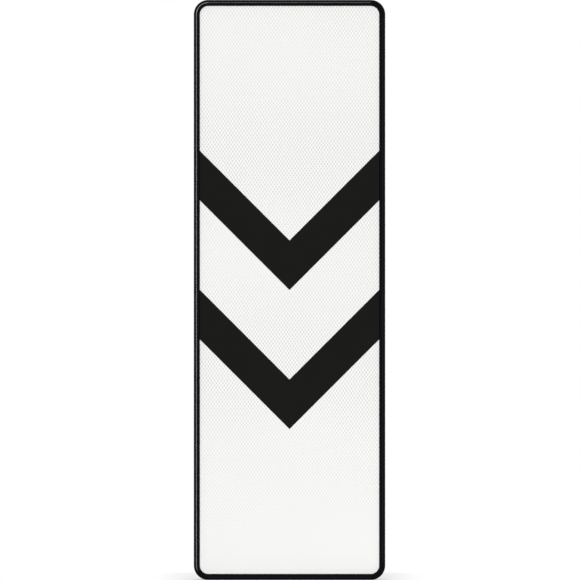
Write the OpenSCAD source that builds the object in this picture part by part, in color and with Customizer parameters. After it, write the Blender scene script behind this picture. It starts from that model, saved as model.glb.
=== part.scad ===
// Chevron sign: a tall reflective plate in a black extruded edge profile, held to a
// round post by two clamp brackets that slide along the profile's rear lips.
// Millimetres. +Z is up and the face looks towards -Y. The origin lies on the post's
// axis at the sign's mid-height.

/* [Sign plate] */
// Overall width of the sign, over the edge profile
sign_w = 330; // [280:5:600]
// Overall height of the sign, over the edge profile
sign_h = 1000; // [800:10:1500]
// Outer radius of the sign's corners
corner_r = 25; // [20:1:60]
// Thickness of the aluminium panel
panel_t = 2; // [1.5:0.5:4]
// Thickness of the reflective sheeting
sheeting_t = 0.4; // [0.3:0.1:0.8]
// Distance of the sheeting's cut edge from the panel's edge
film_inset = 0.5; // [0.2:0.1:2]

/* [Chevrons] */
// Width of a stripe, square to its edges
stripe_w = 60.5; // [40:0.5:90]
// White band between the stripes, square to its edges
stripe_gap = 109; // [60:1:140]
// Slope of a chevron's legs from the horizontal, in degrees
leg_slope = 45; // [30:1:55]
// Thickness of the chevron film
film_t = 0.2; // [0.1:0.05:0.4]

/* [Edge profile] */
// Width of the front lip, as seen from the front
lip_w = 10.5; // [8:0.5:14]
// Height of the lip's crown over the panel's front face
crown_h = 4.2; // [3:0.1:5]
// Wall of the arched front lip
lip_t = 1.6; // [1.2:0.1:2]
// Wall of the outer web and of the rear lip
wall = 2; // [1.6:0.1:2.6]
// Width of the ledge behind the panel, from the outer edge
ledge_w = 10; // [8:0.5:14]
// Thickness of the ledge behind the panel
ledge_t = 1.8; // [1.4:0.1:3]
// Depth of the profile behind the panel's front face
profile_d = 24; // [22:1:36]
// Width of the rear lip, from the outer edge
rear_lip_w = 12; // [10:0.5:16]
// Radius of the profile's outer rear edge
rear_r = 2.5; // [1:0.1:3]

/* [Profile joint] */
// Gap between the profile's ends, at the middle of the bottom edge
seam_gap = 0.1; // [0.05:0.05:0.5]
// Length of the plate that bridges the joint
joint_plate_l = 90; // [80:5:140]
// Thickness of the joint plate
joint_plate_t = 2; // [1.5:0.5:4]
// Diameter of a rivet's shank
rivet_d = 3.2; // [3:0.2:5]
// Diameter of a rivet's countersunk head
rivet_head_d = 6; // [5.6:0.1:9]
// Distance of the outer rivets from the joint plate's ends
rivet_end = 12; // [8:1:14]
// Distance between the rivets on each side of the joint
rivet_pitch = 20; // [14:1:24]

/* [Rails] */
// Distance between the two brackets, centre to centre
bracket_pitch = 600; // [300:10:700]
// Height of a rail
rail_h = 40; // [34:1:60]
// Depth of a rail, from its web to its open side
rail_d = 18; // [16:1:30]
// Wall of a rail
rail_wall = 3; // [2:0.5:4]
// Radius of a rail's outer edges
rail_r = 2; // [1:0.5:3]
// Distance of a rail's ends from the sign's outer edges
rail_inset = 3; // [1:0.5:6]

/* [Jaws] */
// Height of a jaw
jaw_h = 30; // [20:1:40]
// Length of a jaw's block, along the rail
jaw_l = 22; // [20:1:30]
// Depth of a jaw's block
jaw_d = 14; // [12:1:15]
// Thickness of the toe that grips the rear lip
toe_t = 5; // [4:0.5:7]
// Distance of the toe's end from the profile's web
toe_end_gap = 1; // [0.5:0.5:3]
// Way that a jaw slides past the point where its toe is free
release_way = 2; // [1:0.5:6]
// Radius of a jaw's edges
jaw_r = 1.5; // [0.5:0.5:2]
// How far a bolt's head stands out of the slot in its jaw
head_proud = 0.8; // [0.4:0.1:2]

/* [Post clamp] */
// Outer diameter of the post
post_d = 60.3; // [48.3:0.1:76.1]
// Thickness of the saddle between the post and the rail
saddle_seat = 7; // [6.5:0.5:12]
// Wall of the saddle's cradle and of its foot
saddle_wall = 6; // [4:0.5:6]
// Radius of the saddle's outer edges
saddle_r = 3; // [1:0.5:5]
// Height of the strap
strap_h = 40; // [30:1:60]
// Thickness of the strap
strap_t = 5; // [3:0.5:6]
// Inner radius of the bends between the strap and its ears
bend_r = 4; // [3:0.5:6]
// Distance of the clamp bolts from the strap's outer face
bolt_offset = 11.75; // [11:0.25:16]
// Distance of an ear's end from its bolt
ear_edge = 11; // [9:0.5:14]
// Radius of the ears' corners
ear_r = 6; // [2:0.5:8]
// Gap between the saddle and the strap's ears when the clamp is tight
clamp_gap = 5; // [3:0.5:8]
// Way that the strap can back off on its bolts
strap_travel = 8; // [5:1:15]

/* [Fasteners] */
// Diameter of the bolts
bolt_d = 8; // [6:0.5:10]
// Width of the bolt heads and nuts across their flats
hex_af = 13; // [12:0.5:16]
// Height of a bolt head
head_h = 5.3; // [4:0.1:6.5]
// Height of a nut
nut_h = 6.5; // [5:0.1:8]
// Outer diameter of a washer
washer_d = 16; // [14:0.5:17]
// Thickness of a washer
washer_t = 1.6; // [1:0.1:2.5]
// Length of bolt that shows past a nut
bolt_tail = 2; // [1:0.5:5]

/* [Clearances] */
// Between the panel and the profile's lip and ledge
fit_gap = 0.1; // [0.05:0.05:0.3]
// Between the panel's edge and the profile's web
edge_gap = 0.3; // [0.1:0.1:1]
// Between faces that slide on each other
slide_gap = 0.1; // [0.05:0.05:0.3]
// Between a jaw's toe and the rear lip
grip_gap = 0.2; // [0.1:0.05:0.5]
// Round a bolt in a hole, on the radius
hole_gap = 0.5; // [0.3:0.1:0.8]
// Round a bolt in its nut, on the radius
thread_gap = 0.05; // [0.02:0.01:0.1]
// Between the post and the clamp, on the radius
post_gap = 0.1; // [0.05:0.05:0.2]
// Round a rivet in its hole, on the radius
rivet_gap = 0.05; // [0.02:0.01:0.1]

/* [Hidden] */
$fn = 64;
// Cutters reach this far past the faces that they open
past = 1;
// A bend's circles are this much too large, so that they cross the faces they blend into
blend = 0.02;

// Depths, as places along Y, from the post's axis towards the face
bore_r = post_d / 2 + post_gap;
rail_back_y = -bore_r - saddle_seat;
rail_y = rail_back_y - rail_d;
rear_y = rail_y - slide_gap;
face_y = rear_y - profile_d;

// Panel and films
panel_w = sign_w - 2 * (wall + edge_gap);
panel_h = sign_h - 2 * (wall + edge_gap);
panel_r = corner_r - wall - edge_gap;
film_w = panel_w - 2 * film_inset;
film_h = panel_h - 2 * film_inset;
film_r = panel_r - film_inset;

// Chevrons, centred on the part of the sheeting that shows inside the lip
stripe_v = stripe_w / cos(leg_slope);
pitch_v = (stripe_w + stripe_gap) / cos(leg_slope);
leg_drop = film_w / 2 * tan(leg_slope);
shown_drop = (sign_w / 2 - lip_w) * tan(leg_slope);
lower_tip = -(shown_drop + stripe_v + pitch_v) / 2;
upper_tip = lower_tip + pitch_v;

// Edge profile, as heights over the panel's front face
tip_h = sheeting_t + film_t + fit_gap;
crown_rise = crown_h - tip_h;
crown_r = (pow(lip_w / 2, 2) + pow(crown_rise, 2)) / (2 * crown_rise);
crown_c = crown_h - crown_r;
ledge_top = -panel_t - fit_gap;
ledge_back = ledge_top - ledge_t;
rear_lip_top = -profile_d + wall;

// Profile joint
joint_mid = (ledge_back + rear_lip_top) / 2;
joint_plate_w = ledge_back - rear_lip_top - 2 * edge_gap;
rivet_cone = (rivet_head_d - rivet_d) / 2 * tan(30);
rivet_grip = wall + joint_plate_t;
rivet_xs = [for (side = [-1, 1], n = [0, 1]) side * (joint_plate_l / 2 - rivet_end - n * rivet_pitch)];

// Jaws, as distances inwards from the sign's outer edge
toe_u = wall + toe_end_gap;
jaw_u = rear_lip_w + slide_gap + grip_gap;
jaw_bolt_u = jaw_u + jaw_l / 2;
jaw_travel = rear_lip_w - toe_u + release_way;
jaw_rear_y = rail_y - slide_gap;
jaw_y = jaw_rear_y - jaw_d;
toe_rear_y = rear_y - wall - grip_gap;
head_slot_w = hex_af + 2 * slide_gap;
head_seat_y = jaw_y + head_h - head_proud;
jaw_washer_y = rail_y + rail_wall + slide_gap;

// Post clamp
strap_r = bore_r + strap_t;
ear_y = clamp_gap / 2;
ear_back_y = ear_y + strap_t;
bend_y = ear_back_y + bend_r;
bend_x = sqrt(pow(strap_r + bend_r, 2) - pow(bend_y, 2));
clamp_bolt_x = strap_r + bolt_offset;
ear_x = clamp_bolt_x + ear_edge;
pillar_x = bore_r + saddle_wall * 2 / 3;
clamp_bolt_l = ear_back_y + washer_t + nut_h + strap_travel + bolt_tail - rail_y;
jaw_bolt_l = jaw_washer_y + washer_t + nut_h + bolt_tail - head_seat_y;

SIGN_NODES = ["sign_panel", "reflective_sheeting", "upper_chevron", "lower_chevron", "edge_profile",
    "joint_plate", "joint_rivets"];
BRACKET_NODES = ["rail", "saddle", "clamp_bolts", "left_jaw", "left_jaw_bolt", "left_jaw_washer",
    "left_jaw_nut", "right_jaw", "right_jaw_bolt", "right_jaw_washer", "right_jaw_nut", "strap",
    "strap_washers", "strap_nuts"];

// Shared shapes

// Stands a piece up that is drawn face up: its Y becomes the sign's height
module upright() translate([0, face_y, 0]) rotate([90, 0, 0]) children();

// Moves a bracket's piece to its height on the sign
module at_bracket(place) translate([0, 0, place * bracket_pitch / 2]) children();

// A left-hand jaw piece for side -1, and its mirror image for side 1
module at_side(side) mirror([side > 0 ? 1 : 0, 0, 0]) translate([-sign_w / 2, 0, 0]) children();

// Rectangle with round corners
module round_outline(w, h, r) {
    square([w - 2 * r, h], center = true);
    square([w, h - 2 * r], center = true);
    for (x = [-1, 1], y = [-1, 1])
        translate([x * (w / 2 - r), y * (h / 2 - r)]) circle(r);
}

// Hexagonal block along Z with its corners turned off at the low end, and at both ends for a nut
module hex_block(h, both_ends) {
    turned_r = hex_af / 2 * 0.96;
    slope = tan(60);
    intersection() {
        rotate(30) cylinder(h = h, d = hex_af / cos(30), $fn = 6);
        cylinder(h = h, r1 = turned_r, r2 = turned_r + h * slope);
        if (both_ends) cylinder(h = h, r1 = turned_r + h * slope, r2 = turned_r);
    }
}

// Hexagon bolt along +Y, with the bearing face of its head at y = 0
module hex_bolt(l) rotate([-90, 0, 0]) {
    tip = bolt_d / 8;
    translate([0, 0, -head_h]) hex_block(head_h, false);
    translate([0, 0, -head_h / 2]) cylinder(h = l - tip + head_h / 2, d = bolt_d);
    translate([0, 0, l - tip]) cylinder(h = tip, d1 = bolt_d, d2 = bolt_d - 2 * tip);
}

// Plain washer along +Y from y = 0
module washer() rotate([-90, 0, 0]) difference() {
    cylinder(h = washer_t, d = washer_d);
    translate([0, 0, -past]) cylinder(h = washer_t + 2 * past, d = bolt_d + 2 * hole_gap);
}

// Hexagon nut along +Y from y = 0
module nut() rotate([-90, 0, 0]) difference() {
    hex_block(nut_h, true);
    translate([0, 0, -past]) cylinder(h = nut_h + 2 * past, d = bolt_d + 2 * thread_gap);
}

// Round hole along Y through everything between two depths, for a bolt
module bolt_hole(from_y, to_y) translate([0, from_y - past, 0]) rotate([-90, 0, 0])
    cylinder(h = to_y - from_y + 2 * past, d = bolt_d + 2 * hole_gap);

// Sign plate: panel, sheeting and chevrons

module sign_panel() color("silver") upright()
    translate([0, 0, -panel_t]) linear_extrude(panel_t) round_outline(panel_w, panel_h, panel_r);

module reflective_sheeting() color("white") upright()
    linear_extrude(sheeting_t) round_outline(film_w, film_h, film_r);

// A chevron that points down, with the tip of its lower edge at the given height
module chevron(tip) color("black") upright() translate([0, tip, sheeting_t]) linear_extrude(film_t)
    polygon([
        [0, 0],
        [film_w / 2, leg_drop],
        [film_w / 2, leg_drop + stripe_v],
        [0, stripe_v],
        [-film_w / 2, leg_drop + stripe_v],
        [-film_w / 2, leg_drop]
    ]);

// Edge profile: one extruded length, bent round the four corners

// Flat tongue from the outer edge inwards, with a round end, its front face at the given height
module tongue(w, t, top) translate([0, top - t]) {
    square([w - t / 2, t]);
    translate([w - t / 2, t / 2]) circle(d = t);
}

// Section of the profile: x runs inwards from the outer edge, y towards the front. The crown's
// circle meets the outer face and the lip's end at the level of the lip's end.
module profile_section() difference() {
    union() {
        intersection() {
            translate([lip_w / 2, crown_c]) circle(crown_r);
            square([lip_w + past, crown_h + past]);
        }
        translate([0, -profile_d]) square([wall, profile_d + tip_h / 2]);
        tongue(ledge_w, ledge_t, ledge_top);
        tongue(rear_lip_w, wall, rear_lip_top);
    }
    translate([wall, ledge_top]) square([lip_w + past, tip_h - ledge_top]);
    intersection() {
        translate([lip_w / 2, crown_c]) circle(crown_r - lip_t);
        translate([wall, tip_h / 2]) square([lip_w, crown_h]);
    }
    difference() {
        translate([-past, -profile_d - past]) square(rear_r + past);
        translate([rear_r, -profile_d + rear_r]) circle(rear_r);
    }
}

// Straight stretch of the profile along the left side, seen face up
module profile_side(l) translate([0, l / 2, 0]) rotate([90, 0, 0]) linear_extrude(l) profile_section();

// Quarter bend of the profile about the corner's centre
module profile_corner() rotate_extrude(angle = 90)
    translate([corner_r, 0]) mirror([1, 0]) profile_section();

// Rivet along +Z from the profile's outer face, grown by a gap for its hole
module rivet_core(gap, l) {
    cylinder(h = rivet_cone, d1 = rivet_head_d + 2 * gap, d2 = rivet_d + 2 * gap);
    cylinder(h = l, d = rivet_d + 2 * gap);
}

// Places rivets on the bottom edge, pointing inwards, in the face-up frame
module at_rivets() for (x = rivet_xs)
    translate([x, -sign_h / 2, joint_mid]) rotate([-90, 0, 0]) children();

module edge_profile() color("#16181f") upright() difference() {
    union() {
        for (turn = [0, 180]) rotate(turn) {
            translate([-sign_w / 2, 0, 0]) profile_side(sign_h - 2 * corner_r);
            rotate(90) translate([-sign_h / 2, 0, 0]) profile_side(sign_w - 2 * corner_r);
            translate([sign_w / 2 - corner_r, sign_h / 2 - corner_r, 0]) profile_corner();
            translate([corner_r - sign_w / 2, sign_h / 2 - corner_r, 0]) rotate(90) profile_corner();
        }
    }
    translate([-seam_gap / 2, -sign_h / 2 - past, -profile_d - past])
        cube([seam_gap, corner_r, profile_d + crown_h + 2 * past]);
    at_rivets() rivet_core(rivet_gap, corner_r / 2);
}

module joint_plate() color("silver") upright() difference() {
    translate([-joint_plate_l / 2, -sign_h / 2 + wall, joint_mid - joint_plate_w / 2])
        cube([joint_plate_l, joint_plate_t, joint_plate_w]);
    at_rivets() rivet_core(rivet_gap, corner_r / 2);
}

// Blind rivets: countersunk heads outside, upset tails inside
module joint_rivets() color("gainsboro") upright() at_rivets() {
    tail_r = rivet_d * 0.7;
    rivet_core(0, rivet_grip + tail_r);
    translate([0, 0, rivet_grip]) intersection() {
        cylinder(h = tail_r, r = tail_r);
        sphere(tail_r);
    }
}

// Rails: open aluminium channels across the back, web forwards

module rail_section() difference() {
    intersection() {
        translate([rail_y + rail_d, 0]) round_outline(2 * rail_d, rail_h, rail_r);
        translate([rail_y, -rail_h / 2]) square([rail_d, rail_h]);
    }
    translate([rail_y + rail_wall, rail_wall - rail_h / 2])
        square([rail_d, rail_h - 2 * rail_wall]);
}

// Slot through a rail's web that lets a jaw's bolt slide inwards
module jaw_slot() for (way = [0, 1]) {
    translate([jaw_bolt_u + way * jaw_travel, 0, 0]) bolt_hole(rail_y, rail_y + rail_wall);
    slot_h = bolt_d + 2 * hole_gap;
    translate([jaw_bolt_u, rail_y - past, -slot_h / 2]) cube([jaw_travel, rail_wall + 2 * past, slot_h]);
}

module rail() color("lightgray") difference() {
    rotate([90, 0, 90]) linear_extrude(sign_w - 2 * rail_inset, center = true) rail_section();
    for (side = [-1, 1]) {
        at_side(side) jaw_slot();
        translate([side * clamp_bolt_x, 0, 0]) bolt_hole(rail_y, rail_y + rail_wall);
    }
}

// Jaws: short extruded claws that pull the rear lip against the rail

// Plan of the left jaw, x inwards from the sign's outer edge
module jaw_plan() difference() {
    union() {
        translate([jaw_u + jaw_l / 2, jaw_y + jaw_d / 2]) round_outline(jaw_l, jaw_d, jaw_r);
        translate([toe_u, toe_rear_y - toe_t]) square([jaw_u + jaw_r - toe_u, toe_t]);
    }
    translate([jaw_bolt_u - head_slot_w / 2, jaw_y - past]) square([head_slot_w, head_seat_y - jaw_y + past]);
}

module jaw(side) color("lightgray") at_side(side) difference() {
    linear_extrude(jaw_h, center = true) jaw_plan();
    translate([jaw_bolt_u, 0, 0]) bolt_hole(jaw_y, jaw_rear_y);
}

module jaw_bolt(side) color("silver") at_side(side) translate([jaw_bolt_u, head_seat_y, 0]) hex_bolt(jaw_bolt_l);

module jaw_washer(side) color("silver") at_side(side) translate([jaw_bolt_u, jaw_washer_y, 0]) washer();

module jaw_nut(side) color("silver") at_side(side)
    translate([jaw_bolt_u, jaw_washer_y + washer_t, 0]) nut();

// Post clamp: a saddle on the rail, a bent strap round the post and two long bolts

// Plan of the saddle: a block with the post's cradle, a hollow on each side and round outer edges
module saddle_plan() difference() {
    translate([-ear_x, rail_back_y]) square([2 * ear_x, -rail_back_y - ear_y]);
    circle(bore_r);
    for (side = [0, 1]) mirror([side, 0]) {
        difference() {
            translate([0, rail_back_y + saddle_wall]) square([pillar_x, -rail_back_y - saddle_wall - ear_y]);
            circle(bore_r + saddle_wall);
        }
        difference() {
            translate([ear_x - saddle_r, -ear_y - saddle_r]) square(saddle_r + past);
            translate([ear_x - saddle_r, -ear_y - saddle_r]) circle(saddle_r);
        }
    }
}

module saddle() color("lightgray") difference() {
    linear_extrude(rail_h, center = true) saddle_plan();
    for (side = [-1, 1]) translate([side * clamp_bolt_x, 0, 0]) bolt_hole(rail_back_y, -ear_y);
}

// Plan of the strap: a round back, a bend on each side and two flat ears. A bend's two circles
// share a centre, and touch the back's circles on the line from there to the post's axis.
module strap_plan() difference() {
    union() {
        intersection() {
            circle(strap_r);
            translate([-ear_x, ear_y]) square([2 * ear_x, strap_r]);
        }
        translate([-ear_x, ear_y]) square([2 * ear_x, strap_t]);
        for (side = [0, 1]) mirror([side, 0]) difference() {
            polygon([[bend_x * ear_y / bend_y, ear_y], [bend_x, ear_y], [bend_x, bend_y]]);
            translate([bend_x, bend_y]) circle(bend_r + blend);
        }
    }
    circle(bore_r);
    for (side = [0, 1]) mirror([side, 0]) difference() {
        polygon([[0, 0], [bend_x, bend_y], [bend_x, 0]]);
        translate([bend_x, bend_y]) circle(bend_r + strap_t + blend);
    }
}

module strap() color("darkgray") difference() {
    intersection() {
        linear_extrude(strap_h, center = true) strap_plan();
        rotate([90, 0, 0]) linear_extrude(4 * strap_r, center = true) round_outline(2 * ear_x, strap_h, ear_r);
    }
    for (side = [-1, 1]) translate([side * clamp_bolt_x, 0, 0]) bolt_hole(ear_y, ear_back_y);
}

// Places a piece on both clamp bolts, at the given depth
module at_clamp_bolts(y) for (side = [-1, 1]) translate([side * clamp_bolt_x, y, 0]) children();

module clamp_bolts() color("silver") at_clamp_bolts(rail_y) hex_bolt(clamp_bolt_l);

module strap_washers() color("silver") at_clamp_bolts(ear_back_y) washer();

module strap_nuts() color("silver") at_clamp_bolts(ear_back_y + washer_t) nut();

// Assembly

sign_panel();
reflective_sheeting();
chevron(upper_tip);  // upper_chevron
chevron(lower_tip);  // lower_chevron
edge_profile();
joint_plate();
joint_rivets();

for (place = [1, -1]) at_bracket(place) {
    name = place > 0 ? "upper_" : "lower_";
    rail();
    saddle();
    clamp_bolts();
    strap();
    strap_washers();
    strap_nuts();
    for (side = [-1, 1]) {
        jaw_name = str(name, side < 0 ? "left_" : "right_");
        jaw(side);
        jaw_bolt(side);
        jaw_washer(side);
        jaw_nut(side);
    }
}
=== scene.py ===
import math

import bpy
import numpy as np
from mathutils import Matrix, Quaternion, Vector


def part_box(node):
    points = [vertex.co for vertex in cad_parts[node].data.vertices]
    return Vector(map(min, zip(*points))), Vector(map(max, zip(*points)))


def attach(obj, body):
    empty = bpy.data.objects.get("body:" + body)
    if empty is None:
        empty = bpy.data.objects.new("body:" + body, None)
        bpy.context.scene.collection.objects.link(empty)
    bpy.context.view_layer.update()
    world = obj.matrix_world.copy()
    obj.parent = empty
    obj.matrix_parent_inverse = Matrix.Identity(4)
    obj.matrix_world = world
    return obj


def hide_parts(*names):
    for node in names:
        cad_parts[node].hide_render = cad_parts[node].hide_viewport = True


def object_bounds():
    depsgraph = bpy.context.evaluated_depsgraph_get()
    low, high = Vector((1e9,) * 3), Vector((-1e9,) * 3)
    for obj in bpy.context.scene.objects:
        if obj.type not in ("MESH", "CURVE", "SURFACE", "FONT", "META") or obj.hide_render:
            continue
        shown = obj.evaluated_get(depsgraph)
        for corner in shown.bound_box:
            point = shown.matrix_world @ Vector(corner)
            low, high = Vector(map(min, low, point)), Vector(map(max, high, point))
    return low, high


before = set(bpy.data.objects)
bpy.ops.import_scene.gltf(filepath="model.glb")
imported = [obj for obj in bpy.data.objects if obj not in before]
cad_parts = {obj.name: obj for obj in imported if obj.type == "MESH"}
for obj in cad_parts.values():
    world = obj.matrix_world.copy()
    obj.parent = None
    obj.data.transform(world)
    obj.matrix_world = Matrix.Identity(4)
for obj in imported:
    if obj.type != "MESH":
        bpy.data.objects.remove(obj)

cad_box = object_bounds()

# Sign panel: a flat blank of rolled aluminium sheet, sheared to size with round corners.
# Its back stays bare and shows the mill's long rolling streaks and a little handling haze.
SHEET_DARK, SHEET_PALE = (0.55, 0.56, 0.57, 1), (0.65, 0.66, 0.67, 1)
STREAKS, SHEET_HAZE = (900, 900, 5), (7, 7, 4)
STREAK_DEPTH = 0.000006


class Shade:
    """One output socket of a material's nodes. Arithmetic on it adds Math nodes."""

    def __init__(self, tree, socket=None):
        self.tree, self.socket = tree, socket

    def node(self, kind, settings=(), sockets=(), output=0):
        """Adds a node: first its settings, then its sockets, each a value or another Shade."""
        made = self.tree.nodes.new(kind)
        for name, value in dict(settings).items():
            setattr(made, name, value)
        for name, value in dict(sockets).items():
            if isinstance(value, Shade):
                self.tree.links.new(value.socket, made.inputs[name])
            else:
                made.inputs[name].default_value = value
        return Shade(self.tree, made.outputs[output])

    def maths(self, operation, *terms):
        """Adds a Math node on these terms."""
        return self.node("ShaderNodeMath", {"operation": operation}, enumerate(terms))

    def __add__(self, other):
        return self.maths("ADD", self, other)

    def __sub__(self, other):
        return self.maths("SUBTRACT", self, other)

    def __rsub__(self, other):
        return self.maths("SUBTRACT", other, self)

    def __mul__(self, other):
        return self.maths("MULTIPLY", self, other)

    __radd__, __rmul__ = __add__, __mul__

    def __abs__(self):
        return self.maths("ABSOLUTE", self)


def noise(place, per_metre, detail=2.0):
    """Noise from 0 to 1, with so many features to the metre along X, Y and Z."""
    scaled = place.node("ShaderNodeVectorMath", {"operation": "MULTIPLY"}, {0: place, 1: per_metre})
    return place.node("ShaderNodeTexNoise", (), {"Vector": scaled, "Scale": 1.0, "Detail": detail})


def step(value, low, high):
    """Smooth step from 0 at low to 1 at high."""
    return value.node("ShaderNodeMapRange", {"interpolation_type": "SMOOTHSTEP"},
                      {"Value": value, "From Min": low, "From Max": high})


def tint(mask, first, second):
    """Colour that goes from the first to the second as the mask goes from 0 to 1."""
    return mask.node("ShaderNodeMix", {"data_type": "RGBA"}, {0: mask, 6: first, 7: second}, 2)


def relief(height, depth):
    """Normal of a surface whose height, from 0 to 1, stands for this depth in metres."""
    return height.node("ShaderNodeBump", (), {"Height": height, "Distance": depth, "Strength": 1.0})


def finish(name, constants, surface):
    """Material whose sockets hold constants, or what surface(place) works out from Object coordinates."""
    material = bpy.data.materials.new(name)
    material.use_nodes = True
    shader = material.node_tree.nodes["Principled BSDF"]
    for socket, value in constants.items():
        shader.inputs[socket].default_value = value
    place = Shade(material.node_tree).node("ShaderNodeTexCoord", output="Object")
    for socket, value in surface(place).items():
        material.node_tree.links.new(value.socket, shader.inputs[socket])
    return material


def dress(material, *nodes):
    """Gives these CAD nodes their finish."""
    for node in nodes:
        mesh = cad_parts[node].data
        mesh.materials.clear()
        mesh.materials.append(material)


def rolled_sheet(place):
    """Streaks along the sheet's length, a slow haze over them, and the streaks' own shallow relief."""
    streak = noise(place, STREAKS, 4.0)
    haze = noise(place, SHEET_HAZE, 3.0)
    mask = step(streak * 0.6 + haze * 0.4, 0.25, 0.75)
    return {
        "Base Color": tint(mask, SHEET_DARK, SHEET_PALE),
        "Roughness": 0.30 + streak * 0.08 + haze * 0.14,
        "Normal": relief(streak, STREAK_DEPTH),
    }


dress(finish("bare_rolled_aluminium", {"Metallic": 1.0}, rolled_sheet), "sign_panel")

# Reflective sheeting: white prismatic film, laid on the whole face. Its clear top layer is welded to the
# base along two slanting families of seal lines, which show as a fine lattice of upright diamonds. The
# sheet was laid about half a degree off square.
CELL_W, CELL_H, LEAN = 0.00555, 0.00806, 0.0082
SEAL_EDGE, SEAL_CORE = 0.55, 0.85
WALL_WHITE, CELL_WHITE = (0.95, 0.95, 0.935, 1), (0.68, 0.68, 0.665, 1)
PLAIN_WHITE = (0.882, 0.882, 0.866, 1)
PRISMS, PRISM_DEPTH = (3000, 3000, 3000), 0.00002
PLAIN_BELOW, CELLS_ABOVE = -0.47, -0.28
REPEAT, STRONGEST = 0.352, 0.230
PRESSED, SWELL, DRIFT, FAINTEST = 0.56, 0.20, 0.4, 0.08
DRIFT_CLOUDS = (9, 9, 5)


def diamonds(place):
    """How far a point lies inside a cell: 0 on a seal line, 1 in the cell. A line lies where
    x / width + z / height, or x / width - z / height, is whole, and its edge and core are levels of that
    sum's cosine, so that it takes up about a quarter of the spacing."""
    x, z = (place.node("ShaderNodeSeparateXYZ", (), {0: place}, axis) for axis in ("X", "Z"))
    across = (x - z * LEAN) * (2 * math.pi / CELL_W)
    up = (z + x * LEAN) * (2 * math.pi / CELL_H)
    clear = [1 - step(turn.maths("COSINE", turn), SEAL_EDGE, SEAL_CORE) for turn in (across + up, across - up)]
    return clear[0] * clear[1]


def prismatic_film(place):
    """Cells greyer than their walls, with the fine grain of the prisms in them. Their contrast swells once
    in each turn of the drum that pressed them, drifts a little, and fades towards the sheet's lower end."""
    cell = diamonds(place)
    prisms = noise(place, PRISMS, 0.0)
    height = place.node("ShaderNodeSeparateXYZ", (), {0: place}, "Z")
    turn = (height - STRONGEST) * (2 * math.pi / REPEAT)
    drift = noise(place, DRIFT_CLOUDS, 1.0)
    pressed = PRESSED + turn.maths("COSINE", turn) * SWELL + drift * DRIFT
    contrast = step(height, PLAIN_BELOW, CELLS_ABOVE) * pressed + FAINTEST
    cell_white = tint(cell * (0.6 + prisms * 0.6), WALL_WHITE, CELL_WHITE)
    return {
        "Base Color": tint(contrast, PLAIN_WHITE, cell_white),
        "Roughness": 0.22 + cell * 0.06,
        "Normal": relief(cell * prisms - cell, PRISM_DEPTH),
    }


dress(finish("white_prismatic_film", {"Specular IOR Level": 0.2}, prismatic_film), "reflective_sheeting")

# Chevrons: two V shaped stripes of black film, cut by plotter and laid on the sheeting. The film is
# satin smooth, and the sheeting's walls telegraph through it very faintly.
FILM_BLACK, FILM_WORN = (0.0058, 0.0058, 0.0048, 1), (0.0068, 0.0068, 0.0057, 1)
WEAR_CLOUDS = (25, 25, 25)
WALL_DEPTH = 0.000006


def plotted_film(place):
    """A faint cloud of wear, and the cells' walls as very shallow relief."""
    cloud = noise(place, WEAR_CLOUDS, 4.0)
    return {
        "Base Color": tint(cloud, FILM_BLACK, FILM_WORN),
        "Roughness": 0.36 + cloud * 0.12,
        "Normal": relief(1 - diamonds(place), WALL_DEPTH),
    }


black_film = finish("black_plotted_film", {"Specular IOR Level": 0.07}, plotted_film)
dress(black_film, "upper_chevron", "lower_chevron")

# Edge profile: one length of extruded aluminium, bent round the corners and powder coated black. Its
# arched front lip and its ledge hold the panel, and its rear lip is what the jaws grip.
COAT_BLACK, COAT_PALE = (0.0016, 0.0017, 0.0032, 1), (0.0026, 0.0028, 0.0046, 1)
PEEL, COAT_GRAIN = (650, 650, 650), (4000, 4000, 4000)
PEEL_DEPTH = 0.000003


def powder_coat(place):
    """The coat's orange peel, 1 to 2 mm across, with finer grain on it."""
    peel = noise(place, PEEL, 1.0)
    grain = noise(place, COAT_GRAIN, 1.0)
    return {
        "Base Color": tint(peel, COAT_BLACK, COAT_PALE),
        "Roughness": 0.17 + peel * 0.06 + grain * 0.03,
        "Normal": relief(peel + grain * 0.15, PEEL_DEPTH),
    }


dress(finish("black_powder_coat", {"Specular IOR Level": 0.045}, powder_coat), "edge_profile")

# Joint plate: a flat aluminium strip behind the profile's butt joint at the middle of the bottom edge. It
# is sawn from a long extrusion and left bare.
MILL_DARK, MILL_PALE = (0.35, 0.36, 0.37, 1), (0.53, 0.54, 0.55, 1)
LINES_ALONG_X, MILL_HAZE = (6, 1600, 1600), (40, 40, 40)
LINE_DEPTH = 0.00004


def die_lines(per_metre):
    """Surface of a bare extrusion: fine lines, with so many features to the metre along X, Y and Z."""

    def surface(place):
        line = noise(place, per_metre, 3.0)
        haze = noise(place, MILL_HAZE, 3.0)
        return {
            "Base Color": tint(step(line * 0.6 + haze * 0.4, 0.35, 0.65), MILL_DARK, MILL_PALE),
            "Roughness": 0.28 + line * 0.14 + haze * 0.12,
            "Normal": relief(line, LINE_DEPTH),
        }

    return surface


mill_along_x = finish("mill_aluminium_lines_across", {"Metallic": 1.0}, die_lines(LINES_ALONG_X))
dress(mill_along_x, "joint_plate")

# Joint rivets: four countersunk blind rivets of aluminium through the profile's web and the joint plate.
# The mandrel that bulged a rivet's tail has snapped off inside its head, which leaves a small round recess.
RIVET_PITCH, RIVET_STEPS = 0.020, 32
RIVET_MM = [
    (0.72, 0.55), (0.78, 0.50), (0.80, 0.12), (0.92, 0.00), (2.88, 0.00), (3.00, 0.05),
    (1.60, 0.81), (1.60, 3.98), (2.05, 4.00), (2.20, 4.15), (2.24, 4.50), (2.20, 5.00),
    (2.02, 5.50), (1.65, 5.86), (1.15, 6.02), (0.80, 6.04), (0.78, 6.20), (0.70, 6.24),
]
PRESSED_GRAIN = (700, 700, 700)
SHARP_EDGE = math.radians(35)


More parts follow.
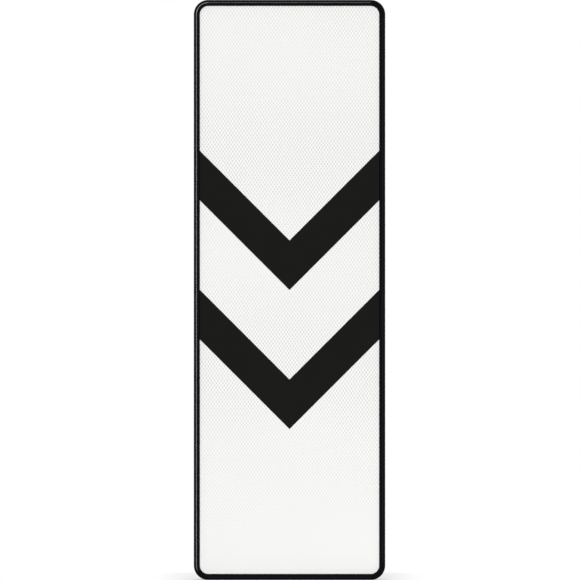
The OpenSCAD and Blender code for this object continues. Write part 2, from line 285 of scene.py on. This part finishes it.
def set_rivet(foot):
    """Rings of a rivet that stands on its foot: the radius and height of each point of its outline, in
    millimetres from the recess over the head, shank and tail to the mandrel's end, carried round its axis."""
    radius, height = np.array(RIVET_MM).T[..., None] / 1000
    angle = np.arange(RIVET_STEPS) * 2 * np.pi / RIVET_STEPS
    ring = [radius * np.cos(angle), -radius * np.sin(angle), height + 0 * angle]
    return np.stack(ring, axis=-1) + foot


def stand_in(name, node, body, material, tubes):
    """One piece in place of a CAD node. A tube is a grid, rings by steps round, with four-sided faces between
    its rings, and a flat face closes each end."""
    tubes = np.stack(tubes)
    corner = np.arange(tubes[..., 0].size).reshape(tubes.shape[:-1])
    low, high = corner[:, :-1], corner[:, 1:]
    sides = np.stack([low, high, np.roll(high, -1, -1), np.roll(low, -1, -1)], axis=-1).reshape(-1, 4)
    ends = np.vstack([corner[:, 0], corner[:, -1, ::-1]])
    mesh = bpy.data.meshes.new(name)
    mesh.from_pydata(tubes.reshape(-1, 3), [], sides.tolist() + ends.tolist())
    mesh.shade_smooth()
    mesh.set_sharp_from_angle(angle=SHARP_EDGE)
    mesh.materials.append(material)
    piece = bpy.data.objects.new(name, mesh)
    bpy.context.scene.collection.objects.link(piece)
    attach(piece, body)
    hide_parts(node)


low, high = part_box("joint_rivets")
outer = max(RIVET_MM)[0] / 1000
inwards = np.array([outer, outer + RIVET_PITCH])
rivet_xs = [*(low.x + inwards), *(high.x - inwards)]
rivets = [set_rivet((x, (low.y + high.y) / 2, low.z)) for x in rivet_xs]
pressed_aluminium = finish("pressed_aluminium", {"Metallic": 1.0}, die_lines(PRESSED_GRAIN))
stand_in("joint_rivets_set", "joint_rivets", "sign", pressed_aluminium, rivets)

# Rails: open aluminium channels across the back, sawn from a long extrusion. Slots in their webs let the
# jaws slide, and two round holes take the clamp bolts.
dress(mill_along_x, "upper_rail", "lower_rail")

# Saddles and jaws: short slices of extrusions that run up the post's way. A saddle seats the post on its
# rail, and a jaw's toe pulls the profile's rear lip against the rail.
LINES_ALONG_Z = (1600, 1600, 6)
mill_along_z = finish("mill_aluminium_lines_upright", {"Metallic": 1.0}, die_lines(LINES_ALONG_Z))
for bracket in ("upper", "lower"):
    dress(mill_along_z, bracket + "_saddle", bracket + "_left_jaw", bracket + "_right_jaw")

# Straps: flat steel bar, bent round the post with two ears and hot-dip galvanised. The zinc has set in
# angular crystals of slightly different greys.
ZINC_DARK, ZINC_PALE = (0.25, 0.27, 0.28, 1), (0.47, 0.49, 0.50, 1)
LARGE_SPANGLES, SMALL_SPANGLES = 120, 310
BLOOM, BLOOM_DEPTH = (300, 300, 300), 0.00002


def crystals(place, per_metre):
    """One grey from 0 to 1 for each crystal, with so many crystals to the metre."""
    colour = place.node("ShaderNodeTexVoronoi", (), {"Vector": place, "Scale": per_metre}, "Color")
    return colour.node("ShaderNodeSeparateColor", (), {0: colour})


def spangle(place):
    """Small crystals between large ones, each with its own grey, under a fine bloom."""
    grey = crystals(place, LARGE_SPANGLES) * 0.5 + crystals(place, SMALL_SPANGLES) * 0.5
    bloom = noise(place, BLOOM, 4.0)
    return {
        "Base Color": tint(grey * 0.55 + bloom * 0.45, ZINC_DARK, ZINC_PALE),
        "Roughness": 0.34 + grey * 0.14 + bloom * 0.1,
        "Normal": relief(bloom, BLOOM_DEPTH),
    }


galvanised = finish("hot_dip_galvanised_steel", {"Metallic": 1.0}, spangle)
dress(galvanised, "upper_strap", "lower_strap")

# Washers and nuts: pressed and cold formed steel with a bright zinc plate, a little cloudy. The nuts draw
# a strap's ears towards its saddle, and a jaw towards its rail.
PLATE_DARK, PLATE_PALE = (0.40, 0.40, 0.37, 1), (0.63, 0.63, 0.61, 1)
PLATE_CLOUDS, SCUFFS = (220, 220, 220), (2500, 2500, 2500)
SCUFF_DEPTH = 0.000006


def zinc_plate(place):
    """Cloudy plating with fine scuffs."""
    cloud = noise(place, PLATE_CLOUDS, 3.0)
    scuff = noise(place, SCUFFS, 2.0)
    return {
        "Base Color": tint(step(cloud, 0.3, 0.7), PLATE_DARK, PLATE_PALE),
        "Roughness": 0.22 + cloud * 0.12 + scuff * 0.06,
        "Normal": relief(scuff, SCUFF_DEPTH),
    }


bright_zinc = finish("bright_zinc_plate", {"Metallic": 1.0}, zinc_plate)
for bracket in ("upper", "lower"):
    dress(bright_zinc, bracket + "_strap_washers", bracket + "_strap_nuts")
    for side in ("left", "right"):
        dress(bright_zinc, f"{bracket}_{side}_jaw_washer", f"{bracket}_{side}_jaw_nut")

# Bolts: cold headed steel with rolled threads, zinc plated as the nuts are. The jaw bolts are threaded up
# to the head, and the long clamp bolts only over their last part.
BOLT_R, ROOT_R, THREAD_PITCH = 0.004, 0.00325, 0.00125
ROOT_FLAT, FLANK = 0.2, 0.65
HEAD_H, HEAD_AF, TURNED_R = 0.0053, 0.013, 0.00624
CONE_H, CONE_ROWS, CONE_FLARE = 0.0008, 6, math.tan(math.radians(60))
TIP_H = 0.001
CLAMP_THREAD, JAW_NECK = 0.024, 0.0005
AROUND, ROWS_PER_PITCH = 48, 8


def threaded_bolt(seat, length, threaded):
    """Rings of a bolt along +Y, as a surface r(y, angle). Its head is a hexagon, cut by a 30 degree cone at
    its top. The shank is a cylinder, and its thread a trapezoid wave of y / pitch - angle / turn, cut by the
    tip's cone."""
    angle = np.arange(AROUND) * 2 * np.pi / AROUND
    hexagon = HEAD_AF / 2 / np.cos((angle + np.pi / 6) % (np.pi / 3) - np.pi / 6)
    head_y = np.append(np.linspace(0, CONE_H, CONE_ROWS), HEAD_H)[:, None]
    head_r = np.minimum(hexagon, TURNED_R + head_y * CONE_FLARE)
    thread_rows = round(threaded / THREAD_PITCH * ROWS_PER_PITCH)
    thread_y = length - np.linspace(threaded, 0, thread_rows)[:, None]
    wave = np.abs((thread_y / THREAD_PITCH - angle / (2 * np.pi)) % 1 - 0.5) * 2
    crest = np.clip((wave - ROOT_FLAT) / FLANK, 0, 1) * (BOLT_R - ROOT_R) + ROOT_R
    thread_r = np.minimum(crest, BOLT_R - TIP_H + length - thread_y)
    shank_y = np.linspace(0, length - threaded - THREAD_PITCH / ROWS_PER_PITCH, 2)[:, None]
    shank_r = np.full((2, AROUND), BOLT_R)
    y = np.vstack([head_y - HEAD_H, shank_y, thread_y]) + seat[1]
    r = np.vstack([head_r, shank_r, thread_r])
    along = np.broadcast_to(y, r.shape)
    return np.stack([seat[0] + r * np.cos(angle), along, seat[2] + r * np.sin(angle)], axis=-1)


for bracket in ("upper", "lower"):
    node = bracket + "_clamp_bolts"
    low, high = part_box(node)
    shank, middle_z = high.y - low.y - HEAD_H, (low.z + high.z) / 2
    seats = [(x, low.y + HEAD_H, middle_z) for x in (low.x + HEAD_AF / 2, high.x - HEAD_AF / 2)]
    pair = [threaded_bolt(seat, shank, CLAMP_THREAD) for seat in seats]
    stand_in(node + "_threaded", node, bracket + "_bracket", bright_zinc, pair)
    for side in ("left", "right"):
        jaw = f"{bracket}_{side}_jaw"
        low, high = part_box(jaw + "_bolt")
        shank = high.y - low.y - HEAD_H
        seat = ((low.x + high.x) / 2, low.y + HEAD_H, (low.z + high.z) / 2)
        bolt = threaded_bolt(seat, shank, shank - JAW_NECK)
        stand_in(jaw + "_bolt_threaded", jaw + "_bolt", jaw, bright_zinc, [bolt])

# Studio: a pale floor under the sign that turns to the white background away from it, soft boxes in front
# and behind, and a white surround. Narrow strips light the rim alone. None of it belongs to the object.
FLOOR_R, FLOOR_STEPS, FLOOR_PALE = 2.6, 96, (0.9, 0.9, 0.9, 1)
FLOOR_FADE, FLOOR_GLOW = (0.0, 0.08), 0.4
WHITE = (1, 1, 1, 1)
AMBIENT = 0.85
# A soft box has a spot, a width and height, and a radiance
SOFT_BOXES = {
    "front": ((-0.5, -3.2, 1.1), (1.6, 1.6), 2.8),
    "low": ((0.05, -0.45, -0.485), (0.9, 0.05), 1.6),
    "rear": ((1.6, 3.0, 1.2), (1.5, 1.5), 4.0),
}
# A strip has the x and z of the middle of its stretch of rim, a length, a turn in degrees and a radiance
OUTLINE_Y = -0.080
STRIP_W, STRIP_Y, STRIP_OUT, STRIP_SPREAD = 0.0045, -0.0936, 0.0027, math.radians(60)
RIM_STRIPS = {
    "left": ((-0.1605, -0.005), 0.96, 90, 7.9),
    "top": ((0.0, 0.4955), 0.28, 0, 3.75),
    "right": ((0.1605, 0.0), 0.94, -90, 0.4),
    "bottom": ((0.0, -0.4955), 0.28, 180, 0.3),
}
CORNER_X, CORNER_Z, CORNER_R = -0.14, 0.475, 0.0205
CORNER_LENGTH, CORNER_RADIANCE = 0.0074, 10.5
for degrees in range(9, 90, 18):
    across, up = math.sin(math.radians(degrees)), math.cos(math.radians(degrees))
    middle = (CORNER_X - CORNER_R * across, CORNER_Z + CORNER_R * up)
    RIM_STRIPS[f"corner_{degrees}"] = (middle, CORNER_LENGTH, degrees, CORNER_RADIANCE)


def seen_as_background(start):
    """1 for the rays that show the background itself: camera, glossy and transmission rays."""
    camera_ray = start.node("ShaderNodeLightPath", output="Is Camera Ray")
    outputs = camera_ray.socket.node.outputs
    glossy, through = (Shade(start.tree, outputs[name]) for name in ("Is Glossy Ray", "Is Transmission Ray"))
    total = camera_ray + glossy + through
    return total.maths("MINIMUM", total, 1.0)


low, high = cad_box
angle = np.arange(FLOOR_STEPS) * 2 * np.pi / FLOOR_STEPS
rim = [FLOOR_R * np.cos(angle), FLOOR_R * np.sin(angle), np.full(FLOOR_STEPS, low[2])]
floor_mesh = bpy.data.meshes.new("floor")
floor_mesh.from_pydata(np.stack(rim, axis=-1), [], [list(range(FLOOR_STEPS))])
floor = bpy.data.objects.new("floor", floor_mesh)
bpy.context.scene.collection.objects.link(floor)

floor_finish = bpy.data.materials.new("pale_floor")
floor_finish.use_nodes = True
tree = floor_finish.node_tree
tree.nodes.clear()
start = Shade(tree)
place = start.node("ShaderNodeTexCoord", output="Object")
x, y = (place.node("ShaderNodeSeparateXYZ", (), {0: place}, axis) for axis in ("X", "Y"))
past_x, past_y = (past.maths("MAXIMUM", past, 0.0) for past in (abs(x) - high[0], abs(y) + low[1]))
reach = past_x * past_x + past_y * past_y
away = reach.maths("SQRT", reach)
matt = start.node("ShaderNodeBsdfDiffuse", (), {"Color": FLOOR_PALE})
white = start.node("ShaderNodeEmission", (), {"Color": WHITE, "Strength": 1.0})
fade = (FLOOR_GLOW + step(away, *FLOOR_FADE) * (1 - FLOOR_GLOW)) * seen_as_background(start)
upper_side = start.node("ShaderNodeMixShader", (), {0: fade, 1: matt, 2: white})
underside = start.node("ShaderNodeNewGeometry", output="Backfacing")
clear = start.node("ShaderNodeBsdfTransparent")
one_sided = start.node("ShaderNodeMixShader", (), {0: underside, 1: upper_side, 2: clear})
tree.links.new(one_sided.socket, tree.nodes.new("ShaderNodeOutputMaterial").inputs["Surface"])
floor_mesh.materials.append(floor_finish)

world = bpy.data.worlds.new("studio")
world.use_nodes = True
bpy.context.scene.world = world
tree = world.node_tree
strength = AMBIENT + seen_as_background(Shade(tree)) * (1 - AMBIENT)
tree.nodes["Background"].inputs["Color"].default_value = WHITE
tree.links.new(strength.socket, tree.nodes["Background"].inputs["Strength"])


def area_lamp(name, spot, target, size, radiance, roll=0.0):
    """Lamp of this radiance that faces the target, turned about its own axis, and out of the camera's
    sight. Its power is the radiance times pi times its area."""
    lamp = bpy.data.lights.new("lamp_" + name, "AREA")
    lamp.shape, lamp.size, lamp.size_y = "RECTANGLE", *size
    lamp.energy = radiance * math.pi * size[0] * size[1]
    holder = bpy.data.objects.new("lamp_" + name, lamp)
    holder.location = spot
    aim = (Vector(target) - Vector(spot)).to_track_quat("-Z", "Y")
    holder.rotation_euler = (aim @ Quaternion((0, 0, 1), roll)).to_euler()
    holder.visible_camera = False
    bpy.context.scene.collection.objects.link(holder)
    return holder


for name, (spot, size, radiance) in SOFT_BOXES.items():
    area_lamp(name, spot, (0, 0, 0), size, radiance).visible_glossy = name == "rear"

rim_alone = bpy.data.collections.new("rim_alone")
rim_alone.objects.link(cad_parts["edge_profile"])
for name, ((x, z), length, degrees, radiance) in RIM_STRIPS.items():
    roll = math.radians(degrees)
    spot = (x - STRIP_OUT * math.sin(roll), STRIP_Y, z + STRIP_OUT * math.cos(roll))
    strip = area_lamp(name, spot, (x, OUTLINE_Y, z), (length, STRIP_W), radiance, roll)
    strip.data.spread = STRIP_SPREAD
    strip.visible_diffuse = False
    strip.light_linking.receiver_collection = rim_alone

# Camera: straight on, with a long lens far away. The frame is the photograph's square, 999.8 mm wide where
# the sign's outline is, and it sits a little right of and below the sign's middle.
FRAME_W, FRAME_X, FRAME_Z = 0.9998, 0.00085, -0.0001
DISTANCE = 8.0
lens = bpy.data.cameras.new("front_camera")
lens.sensor_width = 36.0
lens.lens = lens.sensor_width * DISTANCE / FRAME_W
lens.clip_end = 100.0
camera = bpy.data.objects.new("front_camera", lens)
camera.location = (FRAME_X, OUTLINE_Y - DISTANCE, FRAME_Z)
camera.rotation_euler = (math.radians(90), 0, 0)
bpy.context.scene.collection.objects.link(camera)
bpy.context.scene.camera = camera
bpy.context.scene.view_settings.view_transform = "Standard"
